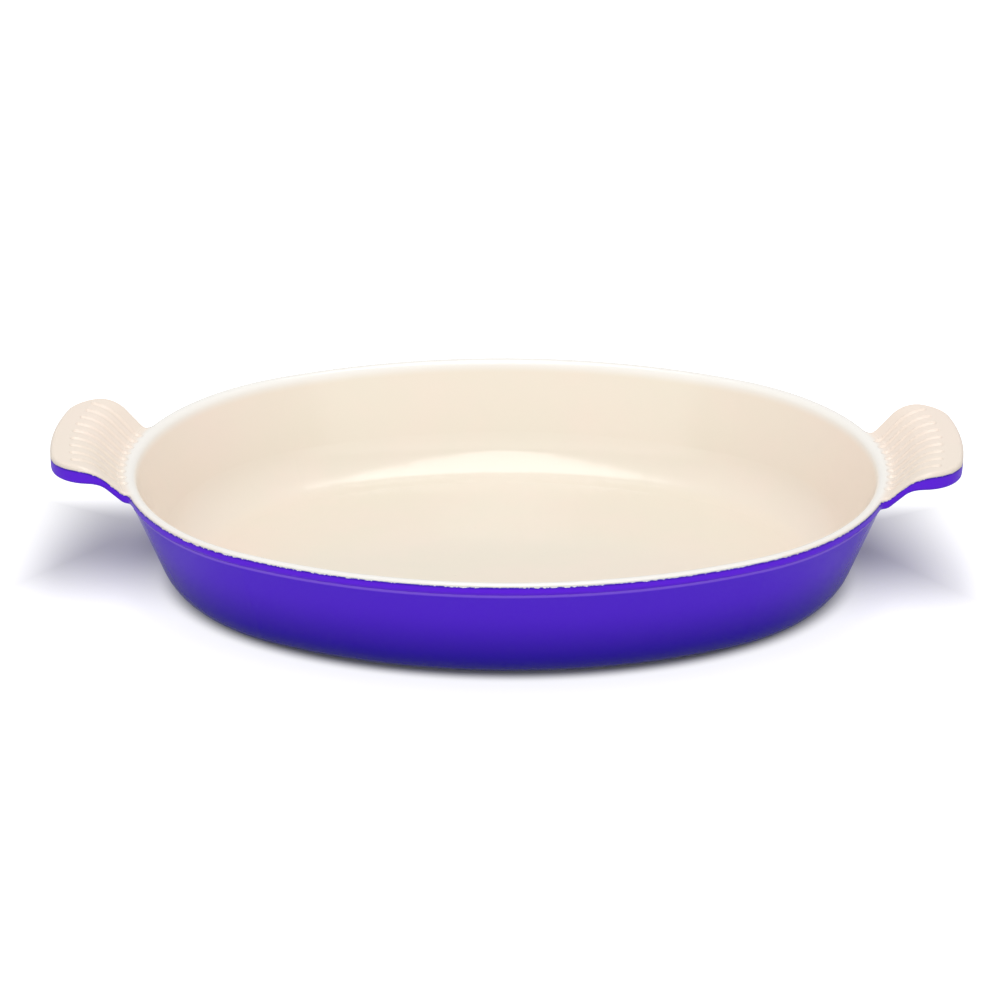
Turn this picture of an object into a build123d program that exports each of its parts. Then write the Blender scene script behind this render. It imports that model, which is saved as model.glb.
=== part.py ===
from build123d import *
import math
import os

# Oval gratin dish of enamelled cast iron, in millimetres.
# X runs from handle to handle, Z is up, and the foot land stands at Z = 0.
# The sizes are those of the finished dish: the iron lies one enamel thickness inside them.

# Plan of the rim, an oval of four tangent arcs
rim_length = 304.0
rim_width = 221.0
rim_end_radius = 97.5

# Bowl
rim_height = 49.0
wall_angle = 20.5
wall_thickness = 4.5
floor_thickness = 4.5
base_corner_radius = 19.0
floor_corner_radius = 22.0

# Band round the rim
band_height = 4.7
band_proud = 1.1
band_edge_radius = 1.6
inner_edge_radius = 3.4

# Foot: a shallow recess leaves a land round the base
foot_land_width = 7.0
foot_recess = 1.5
foot_recess_radius = 0.7
foot_edge_radius = 0.5

# Handles from above
handle_span = 360.0
handle_waist_width = 67.0
handle_flare = 13.0
handle_corner_radius = 17.0
handle_tip_radius = 110.0
handle_root_radius = 3.0

# Handles from the side: the top and the underside each bend up, climb and level out
handle_climb = 45.0
handle_rise = 12.2
handle_root_bend = 3.7
handle_crest_bend = 17.0
underside_rise = 9.2
underside_root_bend = 4.1
underside_crest_bend = 10.0

# Grooves that fan out over each handle
groove_count = 9
groove_pitch = 7.0
groove_width = 2.8
groove_depth = 0.75
groove_end_gap = 7.5

# Enamel, and how far below the top of the rim and of the handles the inner colour ends
enamel_thickness = 0.4
colour_line_depth = 0.9
handle_line_depth = 1.9

# How far cutting tools run past what they cut
overrun = 10.0

# Cosine under which a face counts as upright
upright_share = 0.01

# Places that follow from the sizes
half_length = rim_length / 2
half_width = rim_width / 2
end_centre = half_length - rim_end_radius
end_axis = Axis((end_centre, 0, 0), (0, 0, 1))
squares = half_length**2 + half_width**2 - 2 * half_length * rim_end_radius
rim_side_radius = squares / (2 * (half_width - rim_end_radius))
side_centre = rim_side_radius - half_width
centre_gap = rim_side_radius - rim_end_radius
climb = math.radians(handle_climb)
flare = math.radians(handle_flare)
slope = math.tan(math.radians(wall_angle))
slant = math.cos(math.radians(wall_angle))
band_bottom = rim_height - band_height
rim_land = band_proud + wall_thickness / slant - band_height * slope
floor_height = foot_recess + floor_thickness
base_inset = band_proud + band_bottom * slope
base_corner_run = base_corner_radius * math.tan(math.radians((90 - wall_angle) / 2))
recess_inset = base_inset + base_corner_run + foot_land_width
tip_distance = handle_span / 2


def both_ends(shapes):
    """The shapes of one end of the dish, with their mirror images at the other end."""
    return shapes + [mirror(shape, about=Plane.YZ) for shape in shapes]


def oval(inset, height):
    """The rim's oval, moved in by inset, as a face at the given height."""
    end_radius = rim_end_radius - inset
    corner_x = end_centre + end_radius * end_centre / centre_gap
    corner_y = end_radius * side_centre / centre_gap
    length = half_length - inset
    width = half_width - inset
    arcs = [
        ThreePointArc((corner_x, -corner_y), (length, 0), (corner_x, corner_y)),
        ThreePointArc((corner_x, corner_y), (0, width), (-corner_x, corner_y)),
        ThreePointArc((-corner_x, corner_y), (-length, 0), (-corner_x, -corner_y)),
        ThreePointArc((-corner_x, -corner_y), (0, -width), (corner_x, -corner_y)),
    ]
    return Pos(0, 0, height) * make_face(arcs)


def flared_oval(inset_at_top, top, bottom, corner_radius):
    """A solid with the wall's slope between two heights, its lower edge rounded."""
    inset = inset_at_top + (top - bottom) * slope
    body = extrude(oval(inset, bottom), amount=top - bottom, taper=-wall_angle)
    return fillet(body.edges().group_by(Axis.Z)[0], corner_radius)


def cavity(inset):
    """The space for the food, grown into the wall and the floor by inset."""
    top = rim_height + overrun
    inset_at_top = rim_land - overrun * slope - inset / slant
    return flared_oval(inset_at_top, top, floor_height - inset, floor_corner_radius + inset)


def foot_hollow(inset):
    """The shallow recess under the base, grown into the floor by inset."""
    tool = extrude(oval(recess_inset - inset, -overrun), amount=overrun + foot_recess + inset)
    return fillet(tool.edges().group_by(Axis.Z)[-1], foot_recess_radius + inset)


def handle_plan(inset):
    """One handle from above: flared sides, round corners and a gently curved tip."""
    reach = tip_distance + overrun
    waist = handle_waist_width / 2 - inset / math.cos(flare)
    near = waist - (half_length - end_centre) * math.tan(flare)
    far = waist + (reach - half_length) * math.tan(flare)
    corners = [(end_centre, -near), (reach, -far), (reach, far), (end_centre, near)]
    tip = Pos(tip_distance - handle_tip_radius, 0) * Circle(handle_tip_radius - inset)
    blade = make_face(Polyline(*corners, close=True)) & tip
    tip_corners = [v for v in blade.vertices() if v.X > half_length]
    return fillet(tip_corners, handle_corner_radius - inset)


def outline(inset):
    """The whole dish from above, with the corners between rim and handles rounded."""
    plan = oval(inset, 0) + both_ends([handle_plan(inset)])
    arc_end = end_centre + rim_end_radius * end_centre / centre_gap
    roots = [v for v in plan.vertices() if arc_end < abs(v.X) < half_length]
    return fillet(roots, handle_root_radius + inset)


def rising_line(level, rise, root_bend, crest_bend, reach):
    """A line from the side that bends up from a level, climbs and levels out at the rise."""
    corner_x = half_length + root_bend * math.tan(climb / 2)
    crest_x = corner_x + rise / math.tan(climb) + crest_bend * math.tan(climb / 2)
    root_z = level + root_bend
    crest_z = level + rise - crest_bend

    def root(angle):
        x = half_length + root_bend * math.sin(angle)
        return (x, 0, root_z - root_bend * math.cos(angle))

    def crest(angle):
        x = crest_x - crest_bend * math.sin(angle)
        return (x, 0, crest_z + crest_bend * math.cos(angle))

    stop = math.asin(max(crest_x - reach, 0) / crest_bend)
    line = [
        ThreePointArc(root(0), root(climb / 2), root(climb)),
        Line(root(climb), crest(climb)),
        ThreePointArc(crest(climb), crest((climb + stop) / 2), crest(stop)),
    ]
    if reach > crest_x:
        line.append(Line(crest(0), (reach, 0, crest_z + crest_bend)))
    return line


def top_line(lift, reach, drop=0):
    """Top of the rim and handle, lifted square to itself, its crest lowered by drop."""
    rise = handle_rise - drop
    bends = (handle_root_bend - lift, handle_crest_bend + lift)
    return rising_line(rim_height + lift, rise, *bends, reach)


def underside_line(lift, reach):
    """Underside of the band and handle, lifted square to itself."""
    bends = (underside_root_bend - lift, underside_crest_bend + lift)
    return rising_line(band_bottom + lift, underside_rise, *bends, reach)


def turned(top, bottom):
    """The section between two lines from the side, turned about the rim's end arc."""
    start = half_length - overrun
    high = (start, 0, (top[0] @ 0).Z)
    low = (start, 0, (bottom[0] @ 0).Z)
    ends = [Line(high, top[0] @ 0), Line(top[-1] @ 1, bottom[-1] @ 1)]
    ends += [Line(bottom[0] @ 0, low), Line(low, high)]
    section = make_face(top + bottom + ends)
    covered_width = handle_waist_width / 2 + 6 * handle_root_radius
    half_angle = math.degrees(math.asin(covered_width / rim_end_radius))
    return revolve(section, end_axis, 2 * half_angle).rotate(end_axis, -half_angle)


def grooves(inset):
    """The fan of round-ended grooves of one handle, as tools grown by inset."""
    radius = groove_width**2 / (8 * groove_depth) + groove_depth / 2
    reach = tip_distance - groove_end_gap - radius
    path = Wire(top_line(radius - groove_depth, reach))
    section = Plane(origin=path @ 0, z_dir=path % 0) * Circle(radius + inset)
    ball = Sphere(radius + inset)
    tool = sweep(section, path) + Pos(path @ 0) * ball + Pos(path @ 1) * ball
    pitch_angle = math.degrees(groove_pitch / (reach - end_centre))
    middle = (groove_count - 1) / 2
    return [tool.rotate(end_axis, (k - middle) * pitch_angle) for k in range(groove_count)]


def flange(inset):
    """The rim band with both handles, its outer edges rounded."""
    band = extrude(oval(inset, band_bottom + inset), amount=band_height - 2 * inset)
    plan = extrude(outline(inset), amount=rim_height + handle_rise + overrun)
    reach = tip_distance + overrun
    handle = turned(top_line(-inset, reach), underside_line(inset, reach)) & plan
    body = band + both_ends([handle])
    sides = [f for f in body.faces() if abs(f.normal_at(f.center()).Z) < upright_share]
    edges = [e for f in sides for e in f.edges() if abs((e % 0.5).Z) < 1 - upright_share]
    return fillet(edges, band_edge_radius - inset)


def cut_and_round(body, tool, radius):
    """Cuts the tool from the body and rounds the edge where it enters."""
    cut = body - tool
    return fillet(new_edges(body, tool, combined=cut), radius)


def dish(inset):
    """The whole dish with every surface moved in by inset."""
    wall_top = band_bottom + inset + band_proud
    wall_inset = band_proud + inset / slant - (wall_top - band_bottom) * slope
    body = flange(inset) + flared_oval(wall_inset, wall_top, inset, base_corner_radius - inset)
    body = cut_and_round(body, cavity(inset), inner_edge_radius - inset)
    body = cut_and_round(body, foot_hollow(inset), foot_edge_radius - inset)
    return body - both_ends(grooves(inset))


def inner_colour_zone():
    """The space that holds all of the inner enamel and none of the outer enamel."""
    lift = handle_root_bend / 2
    rim = extrude(oval(-lift, rim_height - colour_line_depth), amount=colour_line_depth + lift)
    reach = tip_distance + overrun
    colour_line = top_line(-colour_line_depth, reach, handle_line_depth - colour_line_depth)
    ends = [turned(top_line(lift, reach), colour_line)] + grooves(2 * enamel_thickness)
    return cavity(wall_thickness / 2) + rim + both_ends(ends)


iron = dish(enamel_thickness)
enamel = dish(0) - iron
zone = inner_colour_zone()
nodes = {
    "iron_casting": iron,
    "inner_enamel": enamel & zone,
    "outer_enamel": enamel - zone,
}
os.makedirs("parts", exist_ok=True)
for name, shape in nodes.items():
    export_step(shape, f"parts/{name}.step")
    print(name, len(shape.solids()), round(shape.volume), len(shape.faces()), shape.is_valid)
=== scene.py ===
"""Looks of an oval gratin dish of enamelled cast iron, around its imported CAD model.

Everything is in metres, in the frame of the CAD: X runs from handle to handle, Z is up, and the
foot stands at Z = 0. The cream coat covers the inside, the rim and the tops of the handles, and
the blue coat covers the rest of the iron.
"""
import logging
import math
from dataclasses import dataclass
from enum import Enum

import bpy
from mathutils import Matrix, Vector

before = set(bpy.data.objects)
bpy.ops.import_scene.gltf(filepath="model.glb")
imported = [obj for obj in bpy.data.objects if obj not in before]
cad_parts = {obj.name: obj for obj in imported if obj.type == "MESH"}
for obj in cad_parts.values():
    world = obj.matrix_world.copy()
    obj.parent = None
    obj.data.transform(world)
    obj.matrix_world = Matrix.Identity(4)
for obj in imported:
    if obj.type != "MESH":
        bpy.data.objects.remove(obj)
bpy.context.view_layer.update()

MM = 0.001
WHITE = (1.0, 1.0, 1.0, 1.0)
LOG = logging.getLogger("gratin_dish")

# Sockets of a Mix node that are told apart only by number
MIX_FACTOR, MIX_FIRST, MIX_SECOND = 0, 6, 7
MIX_RESULT = 2

Colour = tuple[float, float, float, float]
Place = tuple[float, float, float]
Span = tuple[float, float]
Signal = bpy.types.NodeSocket | float


class Coat(Enum):
    """The two enamels that meet under the edge of the rim."""

    CREAM = "cream"
    BLUE = "blue"


@dataclass(frozen=True)
class LinePlan:
    """Sizes of the line along the rim and the handles where the two enamels meet.

    Attributes:
        end_centre: distance from the middle of the dish to the centre of the rim's end arc.
        end_radius: radius of the rim's end arc.
        handles_from: how far outside the end arc's centre the handles start, along X.
        height: height of the line along the rim.
        reach: distance outside the end arc at which the line's curve on a handle ends.
        rise: how far the line rises from the rim to a handle's tip.
        root_bend: radius of the bend where the line leaves the rim.
        crest_bend: radius of the bend where the line levels out.
        climb: slope of the line between the bends.
    """

    end_centre: float = 54.5 * MM
    end_radius: float = 97.5 * MM
    handles_from: float = 50.0 * MM
    height: float = 48.1 * MM
    reach: float = 28.0 * MM
    rise: float = 11.2 * MM
    root_bend: float = 4.6 * MM
    crest_bend: float = 16.1 * MM
    climb: float = math.radians(45)

    def climbed(self, out: float) -> float:
        """How far the line has risen on a handle.

        Args:
            out: distance outside the rim's end arc.

        Returns:
            The height over the line along the rim, in metres.
        """
        slope = math.tan(self.climb)
        half_slope = math.tan(self.climb / 2)
        corner = self.root_bend * half_slope
        crest = corner + self.rise / slope + self.crest_bend * half_slope
        if out <= 0:
            return 0.0
        if out < self.root_bend * math.sin(self.climb):
            return self.root_bend - math.sqrt(self.root_bend**2 - out**2)
        if out < crest - self.crest_bend * math.sin(self.climb):
            return (out - corner) * slope
        if out < crest:
            drop = math.sqrt(self.crest_bend**2 - (crest - out) ** 2)
            return self.rise - self.crest_bend + drop
        return self.rise


class NodeBoard:
    """A short way to place and join shader nodes in one tree."""

    def __init__(self, tree: bpy.types.NodeTree) -> None:
        """Keeps the tree that the nodes go to."""
        self.tree = tree

    def feed(self, socket: bpy.types.NodeSocket, value: Signal | Colour) -> None:
        """Links a socket into an input, or sets the input to a plain value."""
        if isinstance(value, bpy.types.NodeSocket):
            self.tree.links.new(value, socket)
        else:
            socket.default_value = value

    def add(self, kind: str, inputs: dict | None = None, **settings) -> bpy.types.Node:
        """Places a node.

        Args:
            kind: the type name of the node, without ShaderNode before it.
            inputs: values or sockets for its inputs, by name or by number.
            settings: properties of the node.

        Returns:
            The node.
        """
        node = self.tree.nodes.new(kind if kind.startswith("Node") else "ShaderNode" + kind)
        for name, value in settings.items():
            setattr(node, name, value)
        for key, value in (inputs or {}).items():
            self.feed(node.inputs[key], value)
        return node

    def place(self) -> bpy.types.NodeSocket:
        """The point's place in the dish's own frame."""
        return self.add("TexCoord").outputs["Object"]

    def parts(self, vector: bpy.types.NodeSocket) -> bpy.types.NodeOutputs:
        """The X, Y and Z of a vector."""
        return self.add("SeparateXYZ", {0: vector}).outputs

    def flat_length(self, along: Signal, across: Signal) -> bpy.types.NodeSocket:
        """The length of a vector in the XY plane."""
        flat = self.add("CombineXYZ", {"X": along, "Y": across}).outputs[0]
        return self.add("VectorMath", {0: flat}, operation="LENGTH").outputs["Value"]

    def math(self, operation: str, *values: Signal) -> bpy.types.NodeSocket:
        """The result of a Math node on numbers or sockets."""
        return self.add("Math", dict(enumerate(values)), operation=operation).outputs[0]

    def ramp(
        self, value: Signal, span: Span, to_low: float = 0.0, to_high: float = 1.0
    ) -> bpy.types.NodeSocket:
        """A smooth step.

        Args:
            value: what the step follows.
            span: the values at which the step starts and ends.
            to_low: result before the step.
            to_high: result past the step.

        Returns:
            The result's socket.
        """
        low, high = span
        inputs = {
            "Value": value,
            "From Min": low,
            "From Max": high,
            "To Min": to_low,
            "To Max": to_high,
        }
        node = self.add("MapRange", inputs, interpolation_type="SMOOTHSTEP")
        return node.outputs["Result"]

    def blend(
        self, factor: Signal, first: Signal | Colour, second: Signal | Colour
    ) -> bpy.types.NodeSocket:
        """A colour that goes from first to second with factor."""
        node = self.add("Mix", data_type="RGBA")
        self.feed(node.inputs[MIX_FACTOR], factor)
        self.feed(node.inputs[MIX_FIRST], first)
        self.feed(node.inputs[MIX_SECOND], second)
        return node.outputs[MIX_RESULT]

    def noise(
        self,
        place: bpy.types.NodeSocket,
        scale: float,
        detail: float = 2.0,
        roughness: float = 0.5,
    ) -> bpy.types.NodeSocket:
        """The value of a noise texture, from 0 to 1."""
        inputs = {"Vector": place, "Scale": scale, "Detail": detail, "Roughness": roughness}
        return self.add("TexNoise", inputs).outputs[0]

    def waver(self, noise: bpy.types.NodeSocket, size: float) -> bpy.types.NodeSocket:
        """A noise moved to lie around 0, as large as size to either side."""
        return self.math("MULTIPLY", self.math("SUBTRACT", noise, 0.5), 2 * size)


def new_group(
    name: str, inputs: tuple[str, ...], outputs: tuple[str, ...]
) -> tuple[NodeBoard, bpy.types.Node, bpy.types.Node]:
    """Makes an empty shader node group of numbers.

    Args:
        name: name of the group.
        inputs: names of its inputs, each 1 unless it is set.
        outputs: names of its outputs.

    Returns:
        A board for the group's tree, the node with its inputs and the node with its outputs.
    """
    tree = bpy.data.node_groups.new(name, "ShaderNodeTree")
    kind = "NodeSocketFloat"
    for label in inputs:
        tree.interface.new_socket(label, in_out="INPUT", socket_type=kind).default_value = 1.0
    for label in outputs:
        tree.interface.new_socket(label, in_out="OUTPUT", socket_type=kind)
    board = NodeBoard(tree)
    return board, board.add("NodeGroupInput"), board.add("NodeGroupOutput")


@dataclass(frozen=True)
class ColourLine:
    """Where the cream enamel ends and the blue enamel starts, with its rubbed, wavy edge.

    Attributes:
        plan: sizes of the line.
        inside: least distance from the end arc along the long sides, which have no handle.
        gate: how fast that limit is lifted where the handles start.
        wander: how far the line wanders to either side.
        wander_scale: scale of the wandering.
        ragged: how far the line's bits stick out to either side.
        ragged_scale: scale of the bits.
        border: the soft border of the blue, around the line.
        steps: number of steps in the line's curve on a handle.
    """

    plan: LinePlan = LinePlan()
    inside: float = -0.5 * MM
    gate: float = 10.0
    wander: float = 0.4 * MM
    wander_scale: float = 60.0
    ragged: float = 1.0 * MM
    ragged_scale: float = 700.0
    border: Span = (-0.05 * MM, 0.12 * MM)
    steps: int = 14

    def build(self) -> bpy.types.NodeTree:
        """Makes the node group.

        Returns:
            A group whose output Depth is how far a point lies below the line and whose output
            Out is how far it lies outside the rim's end arc, both in millimetres, and whose
            output Blue goes from 0 in the cream to 1 in the blue.
        """
        board, _, out = new_group("colour_line", (), ("Depth", "Out", "Blue"))
        place = board.place()
        part = board.parts(place)
        beyond = self.beyond(board, part)
        share = board.math("MAXIMUM", board.math("DIVIDE", beyond, self.plan.reach), 0.0)
        curve = board.add("FloatCurve", {"Value": share})
        self.draw_curve(curve)
        line = board.math("MULTIPLY_ADD", curve.outputs[0], self.plan.rise, self.plan.height)
        depth = board.math("SUBTRACT", line, part["Z"])
        slow = board.noise(place, self.wander_scale, detail=1.0)
        fast = board.noise(place, self.ragged_scale, detail=3.0, roughness=0.7)
        shift = board.math("ADD", board.waver(slow, self.wander), board.waver(fast, self.ragged))
        moved = board.math("SUBTRACT", depth, shift)
        board.feed(out.inputs["Depth"], board.math("DIVIDE", depth, MM))
        board.feed(out.inputs["Out"], board.math("DIVIDE", beyond, MM))
        board.feed(out.inputs["Blue"], board.ramp(moved, self.border))
        return board.tree

    def beyond(self, board: NodeBoard, part: bpy.types.NodeOutputs) -> bpy.types.NodeSocket:
        """How far a point lies outside the rim's end arc.

        Args:
            board: the board of the group.
            part: the X, Y and Z of the point.

        Returns:
            The distance in metres, held below 0 along the long sides.
        """
        side = board.math("SUBTRACT", board.math("ABSOLUTE", part["X"]), self.plan.end_centre)
        reach = board.flat_length(board.math("MAXIMUM", side, 0.0), part["Y"])
        past = board.math("SUBTRACT", side, self.plan.handles_from)
        limit = board.math("MULTIPLY", board.math("MAXIMUM", past, self.inside), self.gate)
        distance = board.math("SUBTRACT", reach, self.plan.end_radius)
        return board.math("MINIMUM", distance, limit)

    def draw_curve(self, node: bpy.types.Node) -> None:
        """Gives a Float Curve node the side view of the line on a handle."""
        curve = node.mapping.curves[0]
        for k in range(1, self.steps):
            share = k / self.steps
            height = self.plan.climbed(share * self.plan.reach)
            curve.points.new(share, height / self.plan.rise)
        node.mapping.update()


@dataclass(frozen=True)
class GlassSkin:
    """The uneven surface of fired enamel: long waves, orange peel and a few pinholes.

    Attributes:
        wave_scale: scale of the long waves.
        peel_scale: scale of the orange peel.
        mottle_scale: scale of the slow variation.
        pin_scale: scale of the cells that may hold a pinhole.
        pin_rim: distances from a cell's point between which a pinhole ends.
        pin_chance: share of the cells without a pinhole.
    """

    wave_scale: float = 55.0
    peel_scale: float = 520.0
    mottle_scale: float = 22.0
    pin_scale: float = 150.0
    pin_rim: Span = (0.05, 0.11)
    pin_chance: float = 0.97

    def build(self) -> bpy.types.NodeTree:
        """Makes the node group.

        Returns:
            A group whose output Height feeds a bump and whose output Mottle is slow variation
            from 0 to 1.
        """
        board, given, out = new_group("glass_skin", ("Wave", "Peel", "Pits"), ("Height", "Mottle"))
        place = board.place()
        wave = board.noise(place, self.wave_scale, roughness=0.45)
        peel = board.noise(place, self.peel_scale, roughness=0.6)
        pins = self.pins(board, place)
        height = board.math("MULTIPLY", wave, given.outputs["Wave"])
        height = board.math("MULTIPLY_ADD", peel, given.outputs["Peel"], height)
        pit = board.math("MULTIPLY", pins, given.outputs["Pits"])
        board.feed(out.inputs["Height"], board.math("SUBTRACT", height, pit))
        mottle = board.noise(place, self.mottle_scale, detail=3.0, roughness=0.6)
        board.feed(out.inputs["Mottle"], mottle)
        return board.tree

    def pins(self, board: NodeBoard, place: bpy.types.NodeSocket) -> bpy.types.NodeSocket:
        """A mask that is 1 in the pinholes, which lie in a few of the cells."""
        cells = board.add("TexVoronoi", {"Vector": place, "Scale": self.pin_scale}, feature="F1")
        chance = board.add("SeparateColor", {0: cells.outputs["Color"]}).outputs[0]
        near = board.ramp(cells.outputs["Distance"], self.pin_rim, 1.0, 0.0)
        return board.math("MULTIPLY", near, board.math("GREATER_THAN", chance, self.pin_chance))


@dataclass(frozen=True)
class EnamelFinish:
    """A glossy glass enamel over iron.

    Depths below the colour line and distances outside the rim's end arc are in millimetres here,
    as the colour line's group gives them.

    Attributes:
        coat: which of the two enamels it is.
        cream: colour of the cream enamel.
        shade_and_patch_pink: pinker cream, painted shade at the ends of the bowl and tone in
            patches.
        pink_shade_ends: distances along X between which the ends turn pinker, as painted shade.
        end_pink_shade: share of that colour at the ends, where it stands for shade.
        blush_mottle: mottle between which warm patches show.
        patch_blush: share of that colour in the patches.
        rim_highlight_cream: whiter cream along the rim, a painted highlight.
        rim_highlight_depth: depths between which the rim's painted highlight ends.
        rim_highlight_end: distances outside the end arc between which the rim's painted highlight
            ends.
        lit_band_blue: lighter blue on the band and the handles, a painted lit copy of the wall's
            blue.
        blue: colour of the blue enamel at the top of the wall.
        foot_shade_blue: darker blue down at the foot, painted shade near the floor.
        foot_shade_rise: heights between which the painted shade at the foot gives way to the
            wall's blue.
        under_band: depths between which the band ends.
        handle_start: distances outside the end arc between which the handles start.
        highlight_line_blue: paler blue in the corner under the band, a painted highlight.
        highlight_line_end: depths between which that painted highlight ends.
        highlight_line_share: how much of the painted highlight shows there.
        pool: colour of the blue enamel under the cream edge.
        pool_end: depths between which that colour ends.
        pool_share: how much of it shows.
        roughness: roughness of the glass.
        mottle_span: mottle between which the roughness varies.
        roughness_share: least and greatest roughness, as shares of it.
        worn_roughness: roughness on the handles' tops, which are handled and wiped most.
        worn_start: distances outside the end arc between which the wear starts.
        gloss: strength of the mirror image in the glass.
        refraction: index of refraction of the glass.
        peel: height of the orange peel, as a share of the relief.
        wave: height of the long waves, as a share of the relief.
        pits: depth of the pinholes, as a share of the relief.
        relief: height of the whole relief.
        round_edges: radius to which edges are shaded, where the glass fills them.
    """

    coat: Coat
    cream: Colour = (0.85, 0.78, 0.66, 1.0)
    shade_and_patch_pink: Colour = (0.89, 0.77, 0.67, 1.0)
    pink_shade_ends: Span = (0.07, 0.15)
    end_pink_shade: float = 0.7
    blush_mottle: Span = (0.35, 0.7)
    patch_blush: float = 0.5
    rim_highlight_cream: Colour = (0.90, 0.875, 0.83, 1.0)
    rim_highlight_depth: Span = (0.0, 4.0)
    rim_highlight_end: Span = (-2.0, 1.0)
    lit_band_blue: Colour = (0.12, 0.008, 0.80, 1.0)
    blue: Colour = (0.088, 0.011, 0.72, 1.0)
    foot_shade_blue: Colour = (0.006, 0.0005, 0.32, 1.0)
    foot_shade_rise: Span = (2.0 * MM, 36.0 * MM)
    under_band: Span = (3.4, 3.9)
    handle_start: Span = (-1.0, 1.0)
    highlight_line_blue: Colour = (0.27, 0.12, 0.88, 1.0)
    highlight_line_end: Span = (4.5, 5.4)
    highlight_line_share: float = 0.75
    pool: Colour = (0.035, 0.002, 0.42, 1.0)
    pool_end: Span = (0.1, 1.1)
    pool_share: float = 0.9
    roughness: float = 0.14
    mottle_span: Span = (0.2, 0.8)
    roughness_share: Span = (0.85, 1.2)
    worn_roughness: float = 0.34
    worn_start: Span = (0.0, 3.0)
    gloss: float = 0.5
    refraction: float = 1.52
    peel: float = 0.035
    wave: float = 0.6
    pits: float = 0.25
    relief: float = 0.25 * MM
    round_edges: float = 0.7 * MM

    def material(self, line: bpy.types.NodeTree, skin: bpy.types.NodeTree) -> bpy.types.Material:
        """Makes the material.

        Args:
            line: the colour line's group.
            skin: the glass skin's group.

        Returns:
            The material. The blue one holds both colours, so that they meet in a ragged edge.
        """
        material = bpy.data.materials.new(f"{self.coat.value}_enamel")
        material.use_nodes = True
        board = NodeBoard(material.node_tree)
        shader = material.node_tree.nodes["Principled BSDF"]
        edge = board.add("Group", node_tree=line).outputs
        heights = {"Wave": self.wave, "Peel": self.peel, "Pits": self.pits}
        glass = board.add("Group", heights, node_tree=skin).outputs
        colour = self.cream_colour(board, edge, glass)
        if self.coat is Coat.BLUE:
            colour = board.blend(edge["Blue"], colour, self.blue_colour(board, edge))
        bump = board.add("Bump", {"Distance": self.relief, "Height": glass["Height"]})
        bump.inputs["Strength"].default_value = 1.0
        if self.coat is Coat.CREAM:
            soft = board.add("Bevel", {"Radius": self.round_edges}, samples=4)
            board.feed(bump.inputs["Normal"], soft.outputs[0])
        board.feed(shader.inputs["Base Color"], colour)
        board.feed(shader.inputs["Roughness"], self.roughness_map(board, edge, glass))
        board.feed(shader.inputs["Normal"], bump.outputs[0])
        shader.inputs["IOR"].default_value = self.refraction
        shader.inputs["Specular IOR Level"].default_value = self.gloss
        return material

    def roughness_map(
        self, board: NodeBoard, edge: bpy.types.NodeOutputs, glass: bpy.types.NodeOutputs
    ) -> bpy.types.NodeSocket:
        """Roughness of the glass: a little uneven, and higher on the handles.

        Args:
            board: the board of the material.
            edge: outputs of the colour line's group.
            glass: outputs of the glass skin's group.

        Returns:
            The roughness.
        """
        least, greatest = (share * self.roughness for share in self.roughness_share)
        smooth = board.ramp(glass["Mottle"], self.mottle_span, least, greatest)
        wear = self.worn_roughness - self.roughness
        return board.math("ADD", smooth, board.ramp(edge["Out"], self.worn_start, 0.0, wear))

    def cream_colour(
        self, board: NodeBoard, edge: bpy.types.NodeOutputs, glass: bpy.types.NodeOutputs
    ) -> bpy.types.NodeSocket:
        """Colour of the cream: pink patches, painted shade at the ends, a painted highlight on the
        rim.

        Args:
            board: the board of the material.
            edge: outputs of the colour line's group.
            glass: outputs of the glass skin's group.

        Returns:
            The colour.
        """
        part = board.parts(board.place())
        along = board.math("ABSOLUTE", part["X"])
        # Painted shade: the ends of the bowl turn pinker, where they get less light.
        ends = board.ramp(along, self.pink_shade_ends, 0.0, self.end_pink_shade)
        patches = board.ramp(glass["Mottle"], self.blush_mottle, 0.0, self.patch_blush)
        body = board.blend(board.math("ADD", ends, patches), self.cream, self.shade_and_patch_pink)
        # Painted highlight: whiter cream along the top of the rim, off the handles.
        rim_lit_mask = board.ramp(edge["Depth"], self.rim_highlight_depth, 1.0, 0.0)
        off_handle = board.ramp(edge["Out"], self.rim_highlight_end, 1.0, 0.0)
        return board.blend(board.math("MULTIPLY", rim_lit_mask, off_handle), body, self.rim_highlight_cream)

    def blue_colour(
        self, board: NodeBoard, edge: bpy.types.NodeOutputs
    ) -> bpy.types.NodeSocket:
        """Colour of the blue enamel: dark under the cream edge, with painted light and shade.

        Args:
            board: the board of the material.
            edge: outputs of the colour line's group.

        Returns:
            The colour.
        """
        part = board.parts(board.place())
        # Painted shade: the wall's blue darkens towards the foot.
        wall = board.blend(board.ramp(part["Z"], self.foot_shade_rise), self.foot_shade_blue, self.blue)
        under = board.ramp(edge["Depth"], self.under_band)
        off_handle = board.ramp(edge["Out"], self.handle_start, 1.0, 0.0)
        # Painted light: the band and the handles get a lighter, lit copy of the blue.
        body = board.blend(board.math("MULTIPLY", under, off_handle), self.lit_band_blue, wall)
        # Painted highlight: a paler line of blue in the corner under the band.
        above_end = board.ramp(edge["Depth"], self.highlight_line_end, self.highlight_line_share, 0.0)
        corner = board.math("MULTIPLY", under, above_end)
        body = board.blend(board.math("MULTIPLY", corner, off_handle), body, self.highlight_line_blue)
        pooled = board.ramp(edge["Depth"], self.pool_end, self.pool_share, 0.0)
        return board.blend(pooled, body, self.pool)


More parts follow.
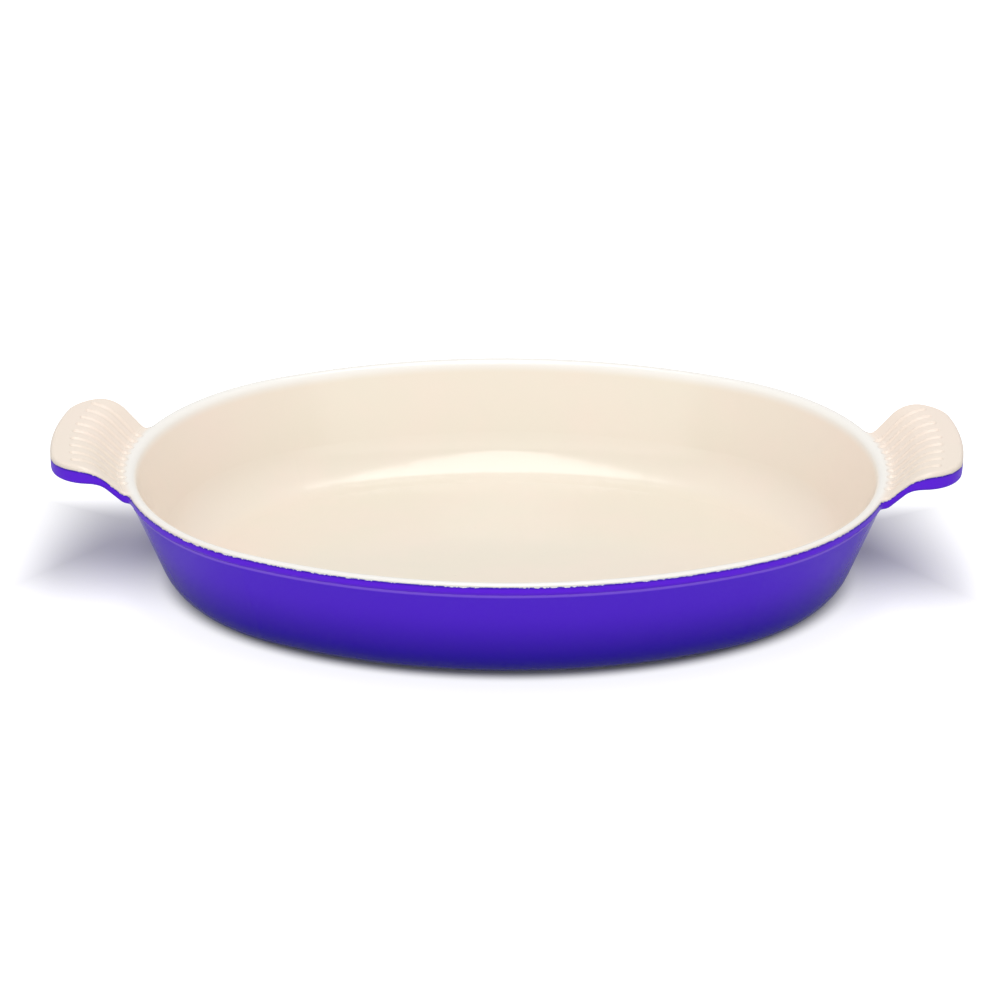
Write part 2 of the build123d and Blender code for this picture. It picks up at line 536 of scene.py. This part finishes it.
@dataclass(frozen=True)
class CastIronFinish:
    """Grey cast iron with the grain of the sand mould, all of it under the enamel.

    Attributes:
        colour: colour of the raised grains.
        dark: colour between the grains.
        metallic: how metallic the iron is.
        grain_scale: scale of the grains.
        grain_span: grain values between which the roughness varies.
        roughness: least and greatest roughness.
        relief: height of the grains.
        relief_strength: strength of the grains' relief.
    """

    colour: Colour = (0.12, 0.12, 0.13, 1.0)
    dark: Colour = (0.05, 0.05, 0.055, 1.0)
    metallic: float = 0.9
    grain_scale: float = 900.0
    grain_span: Span = (0.2, 0.8)
    roughness: Span = (0.55, 0.8)
    relief: float = 0.2 * MM
    relief_strength: float = 0.6

    def material(self) -> bpy.types.Material:
        """Makes the material."""
        material = bpy.data.materials.new("cast_iron")
        material.use_nodes = True
        board = NodeBoard(material.node_tree)
        shader = material.node_tree.nodes["Principled BSDF"]
        grain = board.noise(board.place(), self.grain_scale, detail=4.0, roughness=0.65)
        rough = board.ramp(grain, self.grain_span, *self.roughness)
        bump = board.add("Bump", {"Distance": self.relief, "Height": grain})
        bump.inputs["Strength"].default_value = self.relief_strength
        board.feed(shader.inputs["Base Color"], board.blend(grain, self.dark, self.colour))
        board.feed(shader.inputs["Roughness"], rough)
        board.feed(shader.inputs["Normal"], bump.outputs[0])
        shader.inputs["Metallic"].default_value = self.metallic
        return material


@dataclass(frozen=True)
class Dish:
    """The casting with its two coats of enamel.

    Attributes:
        cream: finish of the inside, the rim and the tops of the handles.
        blue: finish of the outside.
        iron: finish of the casting.
    """

    cream: EnamelFinish = EnamelFinish(Coat.CREAM)
    blue: EnamelFinish = EnamelFinish(Coat.BLUE, gloss=0.25)
    iron: CastIronFinish = CastIronFinish()

    def build(self) -> list[bpy.types.Object]:
        """Dresses the CAD nodes.

        Returns:
            The pieces.
        """
        line = ColourLine().build()
        skin = GlassSkin().build()
        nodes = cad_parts
        finishes = {
            "iron_casting": self.iron.material(),
            "inner_enamel": self.cream.material(line, skin),
            "outer_enamel": self.blue.material(line, skin),
        }
        for name, material in finishes.items():
            mesh = nodes[name].data
            mesh.materials.clear()
            mesh.materials.append(material)
        return [nodes[name] for name in finishes]


@dataclass(frozen=True)
class Softbox:
    """A soft oval lamp that points at the dish.

    Attributes:
        name: name of the lamp.
        place: where its middle hangs.
        aim: the point that it faces.
        size: its width and length.
        power: its power, in watts.
    """

    name: str
    place: Place
    aim: Place
    size: Span
    power: float

    def hang(self) -> bpy.types.Object:
        """Makes the lamp.

        Returns:
            The lamp's object.
        """
        lamp = bpy.data.lights.new(self.name, "AREA")
        lamp.shape = "ELLIPSE"
        lamp.size, lamp.size_y = self.size
        lamp.energy = self.power
        lamp_object = bpy.data.objects.new(self.name, lamp)
        lamp_object.location = self.place
        facing = Vector(self.aim) - Vector(self.place)
        lamp_object.rotation_euler = facing.to_track_quat("-Z", "Y").to_euler()
        bpy.context.scene.collection.objects.link(lamp_object)
        return lamp_object


@dataclass(frozen=True)
class Studio:
    """Pale floor, softboxes and pale surroundings.

    Attributes:
        floor_size: side of the floor.
        floor_grey: how much of the light the floor gives back.
        foot_size: half axes of the dish's foot on the floor.
        fade: distances from the foot between which the floor takes on the background's white.
        front: places along Y between which the white comes back, towards the viewer.
        behind: places along Y between which the white comes back, behind the dish.
        aside: distances from the middle between which the white comes back, past the handles.
        middle: place along X from which these distances count.
        white: how much of the background's white shows in the open floor.
        softboxes: the lamps.
        surround: light that the surroundings give.
        gloss_surround: how bright the surroundings look in the glass.
    """

    floor_size: float = 12.0
    floor_grey: float = 0.62
    foot_size: Span = (0.121, 0.080)
    fade: Span = (0.006, 0.014)
    front: Span = (0.032, -0.046)
    behind: Span = (0.045, 0.080)
    aside: Span = (0.150, 0.215)
    middle: float = -0.008
    white: float = 0.70
    softboxes: tuple[Softbox, ...] = (
        Softbox("softbox_top", (0.0, 0.055, 1.0), (0.0, 0.055, 0.0), (0.30, 1.10), 3.3),
        Softbox("softbox_front", (0.0, -1.9, 1.1), (0.0, 0.0, 0.03), (3.6, 2.2), 17.5),
    )
    surround: float = 0.62
    gloss_surround: float = 0.7

    def build(self) -> None:
        """Makes the floor, the world and the lamps."""
        self.lay_floor()
        self.light_world()
        for softbox in self.softboxes:
            softbox.hang()

    def lay_floor(self) -> None:
        """Lays a pale floor that keeps the shadow of the dish."""
        half = self.floor_size / 2
        mesh = bpy.data.meshes.new("floor")
        corners = [(-half, -half, 0), (half, -half, 0), (half, half, 0), (-half, half, 0)]
        mesh.from_pydata(corners, [], [(0, 1, 2, 3)])
        mesh.materials.append(self.floor_material())
        floor = bpy.data.objects.new("floor", mesh)
        bpy.context.scene.collection.objects.link(floor)

    def floor_material(self) -> bpy.types.Material:
        """Matt grey that the camera sees fade to the background's white away from the dish."""
        material = bpy.data.materials.new("floor")
        material.use_nodes = True
        board = NodeBoard(material.node_tree)
        shader = material.node_tree.nodes["Principled BSDF"]
        grey = (self.floor_grey, self.floor_grey, self.floor_grey, 1.0)
        shader.inputs["Base Color"].default_value = grey
        shader.inputs["Roughness"].default_value = 1.0
        shader.inputs["Specular IOR Level"].default_value = 0.0
        shader.inputs["Emission Color"].default_value = WHITE
        seen = board.add("LightPath").outputs["Is Camera Ray"]
        lift = board.math("MULTIPLY", seen, self.white_share(board))
        board.feed(shader.inputs["Emission Strength"], lift)
        return material

    def white_share(self, board: NodeBoard) -> bpy.types.NodeSocket:
        """How much of the background's white shows at a place on the floor.

        Args:
            board: the board of the floor's material.

        Returns:
            The share: none at the foot and in the shadow beside the dish, and all of it beyond.
        """
        length, width = self.foot_size
        part = board.parts(board.place())
        along = board.math("DIVIDE", part["X"], length)
        across = board.math("DIVIDE", part["Y"], width)
        reach = board.math("SUBTRACT", board.flat_length(along, across), 1.0)
        beyond = board.math("MULTIPLY", reach, width)
        off_middle = board.math("ABSOLUTE", board.math("SUBTRACT", part["X"], self.middle))
        in_front = board.ramp(part["Y"], self.front)
        open_floor = board.math("MAXIMUM", in_front, board.ramp(part["Y"], self.behind))
        open_floor = board.math("MAXIMUM", open_floor, board.ramp(off_middle, self.aside))
        off_foot = board.ramp(beyond, self.fade, 0.0, self.white)
        return board.math("MULTIPLY", off_foot, open_floor)

    def light_world(self) -> None:
        """Gives soft light from all sides, and a white background to the camera."""
        world = bpy.data.worlds.new("studio")
        bpy.context.scene.world = world
        world.use_nodes = True
        board = NodeBoard(world.node_tree)
        back = world.node_tree.nodes["Background"]
        back.inputs["Color"].default_value = WHITE
        path = board.add("LightPath").outputs
        in_gloss = self.gloss_surround - self.surround
        to_camera = 1.0 - self.surround
        level = board.math("MULTIPLY_ADD", path["Is Glossy Ray"], in_gloss, self.surround)
        level = board.math("MULTIPLY_ADD", path["Is Camera Ray"], to_camera, level)
        board.feed(back.inputs["Strength"], level)


@dataclass(frozen=True)
class PhotoCamera:
    """The camera of the photograph, as solved from the outline of the dish.

    Attributes:
        distance: distance from the lens to the point that it looks at.
        elevation: angle above the horizon.
        turn: angle of the camera round the dish, towards +X.
        roll: tilt of the picture.
        aim: the point that it looks at: across the view, and up.
        lens: focal length, in millimetres.
        sensor: width of the sensor, in millimetres.
    """

    distance: float = 1.2148
    elevation: float = math.radians(24.84)
    turn: float = math.radians(1.23)
    roll: float = math.radians(0.09)
    aim: Span = (-0.00249, 0.0323)
    lens: float = 109.33
    sensor: float = 36.0

    def build(self) -> bpy.types.Object:
        """Places the camera and makes it the scene's own.

        Returns:
            The camera object.
        """
        across = Vector((math.cos(self.turn), math.sin(self.turn), 0.0))
        ahead = Vector((-math.sin(self.turn), math.cos(self.turn), 0.0))
        up = Vector((0.0, 0.0, 1.0))
        target = across * self.aim[0] + up * self.aim[1]
        look = ahead * math.cos(self.elevation) - up * math.sin(self.elevation)
        raised = ahead * math.sin(self.elevation) + up * math.cos(self.elevation)
        axes = Matrix((across, raised, -look)).transposed().to_4x4()
        data = bpy.data.cameras.new("camera")
        data.lens = self.lens
        data.sensor_width = self.sensor
        camera = bpy.data.objects.new("camera", data)
        tilt = Matrix.Rotation(-self.roll, 4, "Z")
        camera.matrix_world = Matrix.Translation(target - look * self.distance) @ axes @ tilt
        bpy.context.scene.collection.objects.link(camera)
        bpy.context.scene.camera = camera
        return camera


def main() -> None:
    """Builds the dish, the studio and the camera in order."""
    logging.basicConfig(level=logging.INFO, format="%(name)s: %(message)s")
    bpy.context.scene.view_settings.view_transform = "Standard"
    for piece in Dish().build():
        LOG.info("dressed %s", piece.name)
    Studio().build()
    PhotoCamera().build()


if __name__ == "__main__":
    main()
